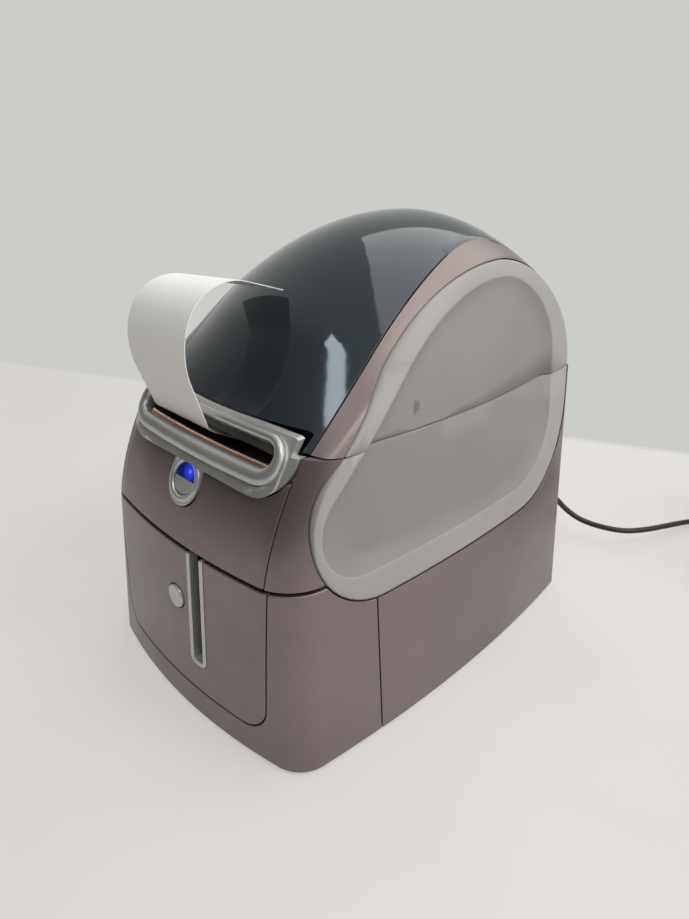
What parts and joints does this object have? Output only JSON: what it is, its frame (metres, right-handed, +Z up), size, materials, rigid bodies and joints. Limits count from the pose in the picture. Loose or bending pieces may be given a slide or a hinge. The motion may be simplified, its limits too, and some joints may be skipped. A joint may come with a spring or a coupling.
{
  "type": "thermal label printer",
  "caption": "Desktop label printer with a domed tinted lid over a label roll, a slanted exit slot with a tear bar, and a front drawer for a tape cassette.",
  "frame": {"origin": "centre of the printer's footprint on the table", "axes": "the front faces -Y, +Z is up, and +X is on the right of someone who looks at the front"},
  "size_m": [0.2376, 0.3527, 0.1856],
  "materials": {
    "bronze_shell": "fine metallic paint",
    "panel_grey": "satin",
    "bezel_silver": "metallic paint",
    "window_tint": "polished, dark tint",
    "light_lens": "clear lens with a blue light",
    "tear_copper": "plated, serrated",
    "inner_black": "moulded",
    "steel": "plated",
    "alu": "extruded",
    "head_ceramic": "glazed",
    "soft_rubber": "ground",
    "gear_white": "moulded",
    "label_paper": "coated",
    "board_green": "solder mask",
    "cable_black": "satin",
    "pin_brass": "plated"
  },
  "bodies": {
    "body": {"adapter_case": "cable_black", "adapter_pins": "pin_brass", "base_pan": "inner_black", "board_chips": "inner_black", "chassis_posts": "inner_black", "data_socket": "steel", "drawer_rails": "inner_black", "exit_bezel": "bezel_silver", "front_base_shell": "bronze_shell", "head_shaft": "steel", "hinge_pins": "steel", "idler_post": "steel", "label_bay": "inner_black", "label_sensor": "inner_black", "label_strip": "label_paper", "main_board": "board_green", "mech_frame": "steel", "pan_screws": "steel", "power_lead": "cable_black", "power_lead_coil": "cable_black", "power_plug": "cable_black", "power_socket": "inner_black", "rear_body_shell": "bronze_shell", "rubber_feet": "soft_rubber", "shoulder_left": "bronze_shell", "shoulder_right": "bronze_shell", "side_panel_lower_left": "panel_grey", "side_panel_lower_right": "panel_grey", "stepper_motor": "steel", "tear_bar": "tear_copper", "upper_front_panel": "bronze_shell"},
    "lid": {"lid_frame": "bronze_shell", "lid_window": "window_tint", "side_panel_upper_left": "panel_grey", "side_panel_upper_right": "panel_grey"},
    "drawer": {"drawer_front": "bronze_shell", "tape_slot_trim": "bezel_silver", "cassette_tray": "inner_black", "tape_cassette": "inner_black", "tape_head": "head_ceramic"},
    "eject_button": {"eject_button": "bezel_silver"},
    "feed_button": {"feed_button": "bezel_silver", "feed_button_lens": "light_lens"},
    "spool": {"spool_core": "inner_black", "label_roll": "label_paper"},
    "spool_guide": {"spool_guide": "inner_black"},
    "platen": {"platen_shaft": "steel", "platen_roller": "soft_rubber", "platen_gear": "gear_white"},
    "idler": {"idler_gear": "gear_white"},
    "pinion": {"motor_pinion": "gear_white"},
    "head": {"head_carrier": "inner_black", "print_head": "head_ceramic", "heat_sink": "alu", "release_lever": "inner_black"},
    "tape_roller": {"tape_roller": "soft_rubber"},
    "spindle": {"drive_spindle": "inner_black"},
    "cutter": {"cutter_blade": "steel"}
  },
  "joints": [
    {"name": "lid_hinge", "type": "hinge", "parent": "body", "child": "lid", "pos_m": [0, 0.0913, 0.1213], "axis": [-1, 0, 0], "range_deg": [0, 75], "deforming": ["label_strip"]},
    {"name": "drawer_slide", "type": "slide", "parent": "body", "child": "drawer", "axis": [0, -1, 0], "range_m": [0, 0.055]},
    {"name": "eject_press", "type": "slide", "parent": "drawer", "child": "eject_button", "axis": [0, 1, 0], "range_m": [0, 0.002], "stiffness_N_per_m": 400},
    {"name": "feed_press", "type": "slide", "parent": "body", "child": "feed_button", "axis": [0, 0.9054, -0.4247], "range_m": [0, 0.0012], "stiffness_N_per_m": 500},
    {"name": "platen_spin", "type": "hinge", "parent": "body", "child": "platen", "pos_m": [0, -0.06025, 0.10137], "axis": [1, 0, 0], "continuous": true},
    {"name": "spool_spin", "type": "hinge", "parent": "body", "child": "spool", "pos_m": [0, 0.026, 0.118], "axis": [1, 0, 0], "continuous": true},
    {"name": "guide_slide", "type": "slide", "parent": "spool", "child": "spool_guide", "axis": [1, 0, 0], "range_m": [0, 0.018]},
    {"name": "idler_spin", "type": "hinge", "parent": "body", "child": "idler", "pos_m": [0, -0.03959, 0.09506], "axis": [1, 0, 0], "continuous": true},
    {"name": "pinion_spin", "type": "hinge", "parent": "body", "child": "pinion", "pos_m": [0, -0.02402, 0.10135], "axis": [1, 0, 0], "continuous": true},
    {"name": "head_release", "type": "hinge", "parent": "body", "child": "head", "pos_m": [0, -0.03928, 0.1037], "axis": [-1, 0, 0], "range_deg": [0, 10]},
    {"name": "tape_roller_spin", "type": "hinge", "parent": "drawer", "child": "tape_roller", "pos_m": [0.00935, -0.082, 0.028], "axis": [0, 0, 1], "continuous": true},
    {"name": "spindle_spin", "type": "hinge", "parent": "drawer", "child": "spindle", "pos_m": [-0.017, -0.057, 0.024], "axis": [0, 0, 1], "continuous": true},
    {"name": "cutter_slide", "type": "slide", "parent": "drawer", "child": "cutter", "axis": [-1, 0, 0], "range_m": [0, 0.007], "stiffness_N_per_m": 60}
  ],
  "couplings": [
    {"joint": "idler_spin", "follows": "platen_spin", "ratio": -0.8},
    {"joint": "pinion_spin", "follows": "platen_spin", "ratio": 2},
    {"joint": "spool_spin", "follows": "platen_spin", "ratio": -0.17647},
    {"joint": "spindle_spin", "follows": "tape_roller_spin", "ratio": -0.5}
  ]
}
